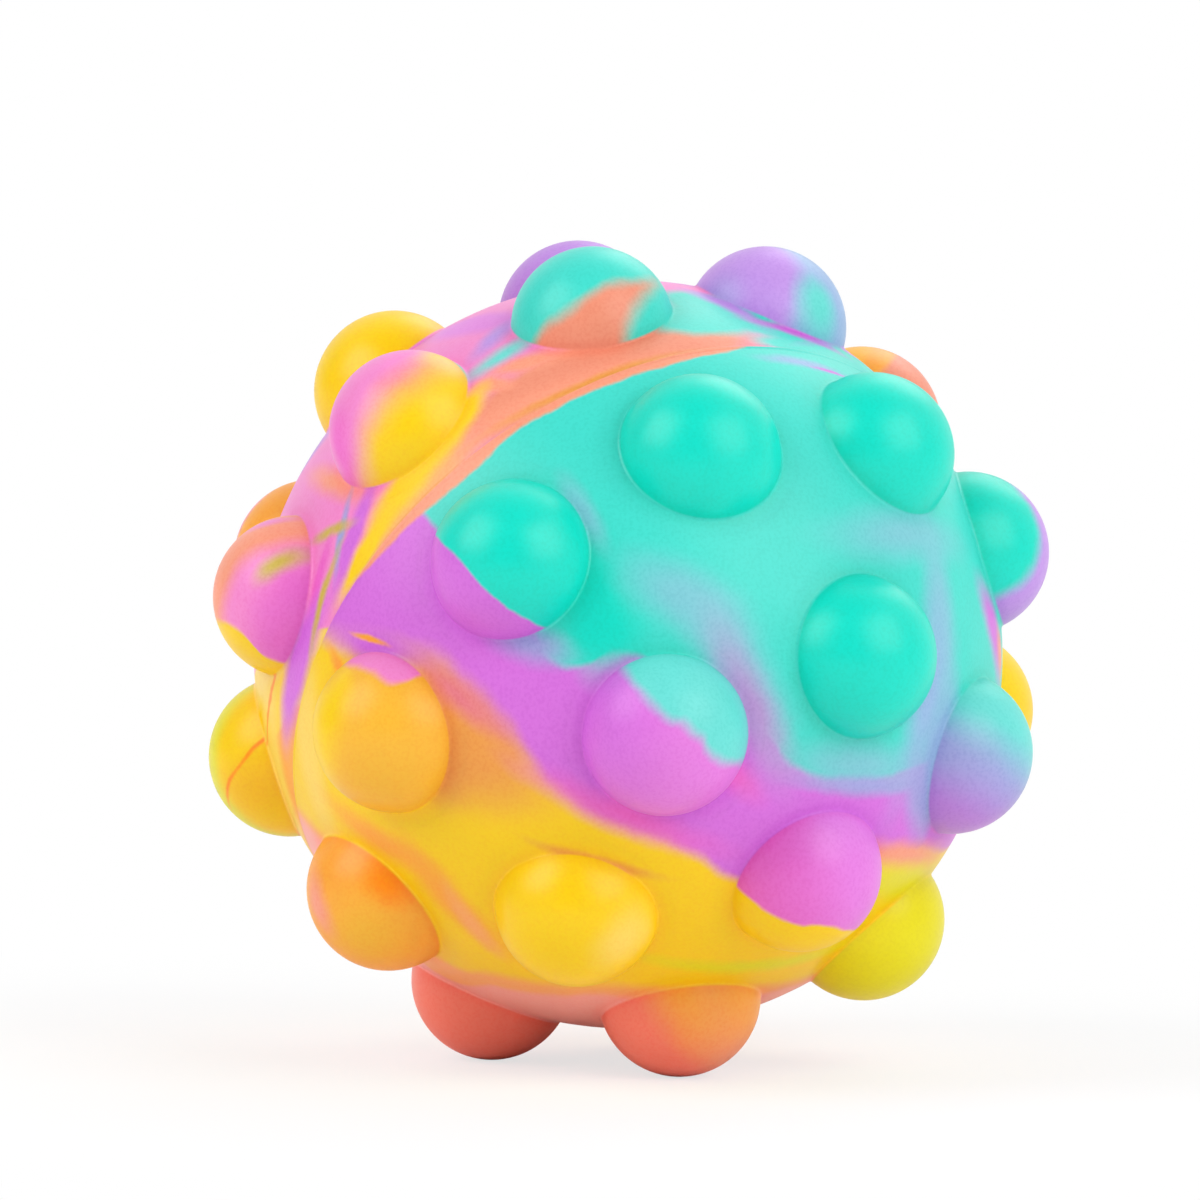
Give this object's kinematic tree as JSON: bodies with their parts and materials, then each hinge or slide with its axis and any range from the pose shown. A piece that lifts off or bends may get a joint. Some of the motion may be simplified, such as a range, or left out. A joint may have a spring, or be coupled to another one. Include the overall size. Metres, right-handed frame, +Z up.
{
  "type": "bubble fidget ball",
  "caption": "Hollow silicone fidget ball of bonded half shells, covered in domed bubbles that press in, stay in and pop back out.",
  "frame": {"origin": "on the surface that the ball stands on, straight below the ball's centre", "axes": "+Z up from the surface, -Y towards the camera of the picture, +X to its right"},
  "size_m": [0.0626, 0.0642, 0.0614],
  "materials": {
    "teal_silicone": "satin",
    "orchid_silicone": "satin",
    "pink_silicone": "satin",
    "yellow_silicone": "satin",
    "amber_silicone": "satin",
    "orange_silicone": "satin",
    "coral_silicone": "satin",
    "lime_silicone": "satin",
    "lavender_silicone": "satin",
    "front_shell_silicone": "satin, tie-dyed",
    "rear_shell_silicone": "satin, tie-dyed",
    "seam_bond_silicone": "satin"
  },
  "bodies": {
    "ball": {"front_half_shell": "front_shell_silicone", "rear_half_shell": "rear_shell_silicone", "seam_bond": "seam_bond_silicone"},
    "front_centre_bubble": {"front_centre_bubble": "orchid_silicone"},
    "front_inner_bubble_1": {"front_inner_bubble_1": "orchid_silicone"},
    "front_inner_bubble_2": {"front_inner_bubble_2": "yellow_silicone"},
    "front_inner_bubble_3": {"front_inner_bubble_3": "coral_silicone"},
    "front_inner_bubble_4": {"front_inner_bubble_4": "lime_silicone"},
    "front_inner_bubble_5": {"front_inner_bubble_5": "teal_silicone"},
    "front_inner_bubble_6": {"front_inner_bubble_6": "teal_silicone"},
    "front_outer_bubble_1": {"front_outer_bubble_1": "teal_silicone"},
    "front_outer_bubble_2": {"front_outer_bubble_2": "amber_silicone"},
    "front_outer_bubble_3": {"front_outer_bubble_3": "orange_silicone"},
    "front_outer_bubble_4": {"front_outer_bubble_4": "coral_silicone"},
    "front_outer_bubble_5": {"front_outer_bubble_5": "yellow_silicone"},
    "front_outer_bubble_6": {"front_outer_bubble_6": "lime_silicone"},
    "front_outer_bubble_7": {"front_outer_bubble_7": "yellow_silicone"},
    "front_outer_bubble_8": {"front_outer_bubble_8": "teal_silicone"},
    "front_outer_bubble_9": {"front_outer_bubble_9": "teal_silicone"},
    "front_outer_bubble_10": {"front_outer_bubble_10": "teal_silicone"},
    "rear_centre_bubble": {"rear_centre_bubble": "lavender_silicone"},
    "rear_inner_bubble_1": {"rear_inner_bubble_1": "yellow_silicone"},
    "rear_inner_bubble_2": {"rear_inner_bubble_2": "orange_silicone"},
    "rear_inner_bubble_3": {"rear_inner_bubble_3": "pink_silicone"},
    "rear_inner_bubble_4": {"rear_inner_bubble_4": "teal_silicone"},
    "rear_inner_bubble_5": {"rear_inner_bubble_5": "amber_silicone"},
    "rear_inner_bubble_6": {"rear_inner_bubble_6": "orchid_silicone"},
    "rear_outer_bubble_1": {"rear_outer_bubble_1": "yellow_silicone"},
    "rear_outer_bubble_2": {"rear_outer_bubble_2": "pink_silicone"},
    "rear_outer_bubble_3": {"rear_outer_bubble_3": "yellow_silicone"},
    "rear_outer_bubble_4": {"rear_outer_bubble_4": "coral_silicone"},
    "rear_outer_bubble_5": {"rear_outer_bubble_5": "orange_silicone"},
    "rear_outer_bubble_6": {"rear_outer_bubble_6": "pink_silicone"},
    "rear_outer_bubble_7": {"rear_outer_bubble_7": "teal_silicone"},
    "rear_outer_bubble_8": {"rear_outer_bubble_8": "orange_silicone"},
    "rear_outer_bubble_9": {"rear_outer_bubble_9": "orchid_silicone"},
    "rear_outer_bubble_10": {"rear_outer_bubble_10": "teal_silicone"}
  },
  "joints": [
    {"name": "front_centre_bubble_press", "type": "slide", "parent": "ball", "child": "front_centre_bubble", "axis": [-0.4951, 0.6814, 0.539], "range_m": [0, 0.0085]},
    {"name": "front_inner_bubble_1_press", "type": "slide", "parent": "ball", "child": "front_inner_bubble_1", "axis": [-0.1253, 0.9815, 0.145], "range_m": [0, 0.0085]},
    {"name": "front_inner_bubble_2_press", "type": "slide", "parent": "ball", "child": "front_inner_bubble_2", "axis": [0.1096, 0.7627, 0.6374], "range_m": [0, 0.0085]},
    {"name": "front_inner_bubble_3_press", "type": "slide", "parent": "ball", "child": "front_inner_bubble_3", "axis": [-0.1656, 0.3325, 0.9284], "range_m": [0, 0.0085]},
    {"name": "front_inner_bubble_4_press", "type": "slide", "parent": "ball", "child": "front_inner_bubble_4", "axis": [-0.6758, 0.1211, 0.7271], "range_m": [0, 0.0085]},
    {"name": "front_inner_bubble_5_press", "type": "slide", "parent": "ball", "child": "front_inner_bubble_5", "axis": [-0.9107, 0.3399, 0.2347], "range_m": [0, 0.0085]},
    {"name": "front_inner_bubble_6_press", "type": "slide", "parent": "ball", "child": "front_inner_bubble_6", "axis": [-0.6354, 0.7701, -0.0563], "range_m": [0, 0.0085]},
    {"name": "front_outer_bubble_1_press", "type": "slide", "parent": "ball", "child": "front_outer_bubble_1", "axis": [0.2924, 0.9066, -0.3043], "range_m": [0, 0.0085]},
    {"name": "front_outer_bubble_2_press", "type": "slide", "parent": "ball", "child": "front_outer_bubble_2", "axis": [0.6164, 0.7696, 0.1666], "range_m": [0, 0.0085]},
    {"name": "front_outer_bubble_3_press", "type": "slide", "parent": "ball", "child": "front_outer_bubble_3", "axis": [0.6466, 0.4191, 0.6374], "range_m": [0, 0.0085]},
    {"name": "front_outer_bubble_4_press", "type": "slide", "parent": "ball", "child": "front_outer_bubble_4", "axis": [0.3713, -0.0111, 0.9284], "range_m": [0, 0.0085]},
    {"name": "front_outer_bubble_5_press", "type": "slide", "parent": "ball", "child": "front_outer_bubble_5", "axis": [-0.1042, -0.3566, 0.9284], "range_m": [0, 0.0085]},
    {"name": "front_outer_bubble_6_press", "type": "slide", "parent": "ball", "child": "front_outer_bubble_6", "axis": [-0.5984, -0.4854, 0.6374], "range_m": [0, 0.0085]},
    {"name": "front_outer_bubble_7_press", "type": "slide", "parent": "ball", "child": "front_outer_bubble_7", "axis": [-0.9224, -0.3484, 0.1666], "range_m": [0, 0.0085]},
    {"name": "front_outer_bubble_8_press", "type": "slide", "parent": "ball", "child": "front_outer_bubble_8", "axis": [-0.9526, 0.0021, -0.3043], "range_m": [0, 0.0085]},
    {"name": "front_outer_bubble_9_press", "type": "slide", "parent": "ball", "child": "front_outer_bubble_9", "axis": [-0.6773, 0.4322, -0.5953], "range_m": [0, 0.0085]},
    {"name": "front_outer_bubble_10_press", "type": "slide", "parent": "ball", "child": "front_outer_bubble_10", "axis": [-0.2018, 0.7777, -0.5953], "range_m": [0, 0.0085]},
    {"name": "rear_centre_bubble_press", "type": "slide", "parent": "ball", "child": "rear_centre_bubble", "axis": [0.4951, -0.6814, -0.539], "range_m": [0, 0.0085]},
    {"name": "rear_inner_bubble_1_press", "type": "slide", "parent": "ball", "child": "rear_inner_bubble_1", "axis": [0.6758, -0.1211, -0.7271], "range_m": [0, 0.0085]},
    {"name": "rear_inner_bubble_2_press", "type": "slide", "parent": "ball", "child": "rear_inner_bubble_2", "axis": [0.9107, -0.3399, -0.2347], "range_m": [0, 0.0085]},
    {"name": "rear_inner_bubble_3_press", "type": "slide", "parent": "ball", "child": "rear_inner_bubble_3", "axis": [0.6354, -0.7701, 0.0563], "range_m": [0, 0.0085]},
    {"name": "rear_inner_bubble_4_press", "type": "slide", "parent": "ball", "child": "rear_inner_bubble_4", "axis": [0.1253, -0.9815, -0.145], "range_m": [0, 0.0085]},
    {"name": "rear_inner_bubble_5_press", "type": "slide", "parent": "ball", "child": "rear_inner_bubble_5", "axis": [-0.1096, -0.7627, -0.6374], "range_m": [0, 0.0085]},
    {"name": "rear_inner_bubble_6_press", "type": "slide", "parent": "ball", "child": "rear_inner_bubble_6", "axis": [0.1656, -0.3325, -0.9284], "range_m": [0, 0.0085]},
    {"name": "rear_outer_bubble_1_press", "type": "slide", "parent": "ball", "child": "rear_outer_bubble_1", "axis": [0.5984, 0.4854, -0.6374], "range_m": [0, 0.0085]},
    {"name": "rear_outer_bubble_2_press", "type": "slide", "parent": "ball", "child": "rear_outer_bubble_2", "axis": [0.9224, 0.3484, -0.1666], "range_m": [0, 0.0085]},
    {"name": "rear_outer_bubble_3_press", "type": "slide", "parent": "ball", "child": "rear_outer_bubble_3", "axis": [0.9526, -0.0021, 0.3043], "range_m": [0, 0.0085]},
    {"name": "rear_outer_bubble_4_press", "type": "slide", "parent": "ball", "child": "rear_outer_bubble_4", "axis": [0.6773, -0.4322, 0.5953], "range_m": [0, 0.0085]},
    {"name": "rear_outer_bubble_5_press", "type": "slide", "parent": "ball", "child": "rear_outer_bubble_5", "axis": [0.2018, -0.7777, 0.5953], "range_m": [0, 0.0085]},
    {"name": "rear_outer_bubble_6_press", "type": "slide", "parent": "ball", "child": "rear_outer_bubble_6", "axis": [-0.2924, -0.9066, 0.3043], "range_m": [0, 0.0085]},
    {"name": "rear_outer_bubble_7_press", "type": "slide", "parent": "ball", "child": "rear_outer_bubble_7", "axis": [-0.6164, -0.7696, -0.1666], "range_m": [0, 0.0085]},
    {"name": "rear_outer_bubble_8_press", "type": "slide", "parent": "ball", "child": "rear_outer_bubble_8", "axis": [-0.6466, -0.4191, -0.6374], "range_m": [0, 0.0085]},
    {"name": "rear_outer_bubble_9_press", "type": "slide", "parent": "ball", "child": "rear_outer_bubble_9", "axis": [-0.3713, 0.0111, -0.9284], "range_m": [0, 0.0085]},
    {"name": "rear_outer_bubble_10_press", "type": "slide", "parent": "ball", "child": "rear_outer_bubble_10", "axis": [0.1042, 0.3566, -0.9284], "range_m": [0, 0.0085]}
  ]
}
